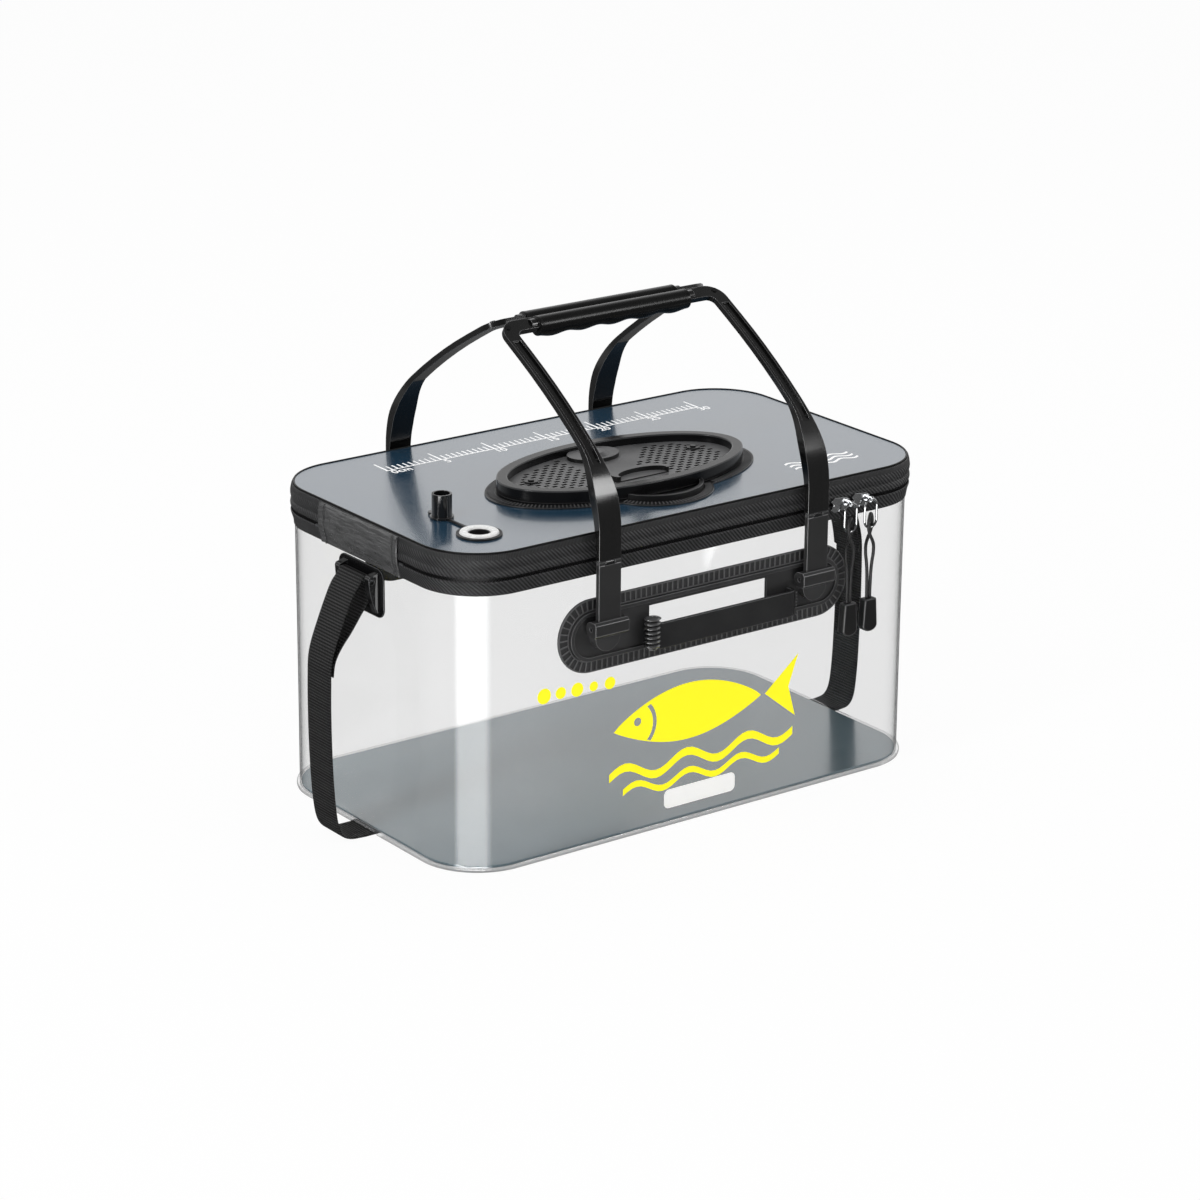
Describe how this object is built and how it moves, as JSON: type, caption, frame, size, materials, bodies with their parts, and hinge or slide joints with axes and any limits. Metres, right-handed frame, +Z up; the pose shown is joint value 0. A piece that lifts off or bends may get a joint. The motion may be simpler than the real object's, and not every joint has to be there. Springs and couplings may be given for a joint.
{
  "type": "aerated bait bucket",
  "caption": "Clear soft-walled bucket for live bait, with a zipped lid, a lift-up mesh vent, a stoppered air-hose port, end straps and two fold-out carrying handles.",
  "frame": {"origin": "centre of the base, on the surface it stands on", "axes": "+Z up; X along the length, with the lid's hinge strip and the air port at -X; the zip pulls are on the -Y side"},
  "size_m": [0.5126, 0.287, 0.3776],
  "materials": {
    "clear_wall": "clear soft vinyl sheet",
    "clear_bead": "clear moulded vinyl",
    "floor_fabric": "grey coated twill",
    "lid_fabric": "dark blue coated twill, glossy",
    "band_fabric": "black twill, stitched",
    "piping": "black cord edging",
    "hinge_strip": "dark grey grained sheet",
    "zip_teeth": "black coil",
    "black_moulding": "semi-matt black",
    "gloss_moulding": "gloss black",
    "soft_moulding": "soft black vinyl",
    "handle_finish": "satin black, hard",
    "grip_rubber": "ribbed black rubber",
    "webbing": "black ribbed webbing",
    "pull_cord": "black braided cord",
    "white_eyelet": "white",
    "bright_metal": "plated",
    "pin_steel": "plain",
    "spring_wire": "spring steel"
  },
  "bodies": {
    "tub": {"wall_shell": "clear_wall", "floor_panel": "floor_fabric", "base_bead": "clear_bead", "rim_band": "band_fabric", "rim_hoop": "spring_wire", "zip_lower": "zip_teeth", "zip_stops": "bright_metal", "hinge_strip_lower": "hinge_strip", "front_plate": "black_moulding", "back_plate": "black_moulding", "front_grab_bar": "soft_moulding", "back_grab_bar": "soft_moulding", "collar_pins": "pin_steel", "strap_bases": "gloss_moulding", "strap_bars": "pin_steel", "left_strap": "webbing", "right_strap": "webbing"},
    "lid": {"lid_panel": "lid_fabric", "lid_band": "band_fabric", "lid_piping": "piping", "lid_hoop": "spring_wire", "zip_upper": "zip_teeth", "hinge_strip_upper": "hinge_strip", "vent_base": "black_moulding", "vent_hinge_pin": "pin_steel", "port_base": "soft_moulding", "port_eyelet": "white_eyelet", "tether_root": "soft_moulding"},
    "vent_hatch": {"hatch_ring": "gloss_moulding", "hatch_mesh": "black_moulding", "hatch_clips": "gloss_moulding"},
    "stopper": {"plug": "soft_moulding", "tether_tip": "soft_moulding"},
    "front_link": {"front_links": "handle_finish", "front_fold_pins": "pin_steel"},
    "front_handle": {"front_handle_frame": "handle_finish", "front_grip": "grip_rubber", "front_rivets": "pin_steel"},
    "back_link": {"back_links": "handle_finish", "back_fold_pins": "pin_steel"},
    "back_handle": {"back_handle_frame": "handle_finish", "back_grip": "grip_rubber", "back_rivets": "pin_steel"},
    "left_slider": {"slider_a": "bright_metal"},
    "right_slider": {"slider_b": "bright_metal"},
    "left_pull": {"ring_a": "bright_metal", "cord_a": "pull_cord", "tab_a": "soft_moulding"},
    "right_pull": {"ring_b": "bright_metal", "cord_b": "pull_cord", "tab_b": "soft_moulding"}
  },
  "joints": [
    {"name": "lid_hinge", "type": "hinge", "parent": "tub", "child": "lid", "pos_m": [-0.2261, 0, 0.227], "axis": [0, -1, 0], "range_deg": [0, 70]},
    {"name": "front_link_tilt", "type": "hinge", "parent": "tub", "child": "front_link", "pos_m": [0, -0.1375, 0.176], "axis": [1, 0, 0], "range_deg": [0, 91]},
    {"name": "back_link_tilt", "type": "hinge", "parent": "tub", "child": "back_link", "pos_m": [0, 0.1375, 0.176], "axis": [-1, 0, 0], "range_deg": [0, 91]},
    {"name": "front_handle_swing", "type": "hinge", "parent": "front_link", "child": "front_handle", "pos_m": [0, -0.138, 0.226], "axis": [1, 0, 0], "range_deg": [0, 75]},
    {"name": "back_handle_swing", "type": "hinge", "parent": "back_link", "child": "back_handle", "pos_m": [0, 0.138, 0.226], "axis": [-1, 0, 0], "range_deg": [0, 75]},
    {"name": "vent_hatch_hinge", "type": "hinge", "parent": "lid", "child": "vent_hatch", "pos_m": [-0.004, 0.0348, 0.2508], "axis": [-1, 0, 0], "range_deg": [0, 60]},
    {"name": "stopper_flip", "type": "hinge", "parent": "lid", "child": "stopper", "pos_m": [-0.1743, -0.055, 0.2482], "axis": [1, 0, 0], "range_deg": [0, 110]},
    {"name": "left_slider_run", "type": "slide", "parent": "tub", "child": "left_slider", "axis": [1, 0, 0], "range_m": [-0.006, 0]},
    {"name": "right_slider_run", "type": "slide", "parent": "tub", "child": "right_slider", "axis": [1, 0, 0], "range_m": [0, 0.016]},
    {"name": "left_pull_swing", "type": "hinge", "parent": "left_slider", "child": "left_pull", "pos_m": [0.135, -0.13565, 0.227], "axis": [-1, 0, 0], "range_deg": [0, 100]},
    {"name": "right_pull_swing", "type": "hinge", "parent": "right_slider", "child": "right_pull", "pos_m": [0.155, -0.13565, 0.227], "axis": [-1, 0, 0], "range_deg": [0, 100]}
  ],
  "couplings": [
    {"joint": "front_link_tilt", "follows": "lid_hinge", "ratio": 1.3},
    {"joint": "back_link_tilt", "follows": "lid_hinge", "ratio": 1.3}
  ]
}
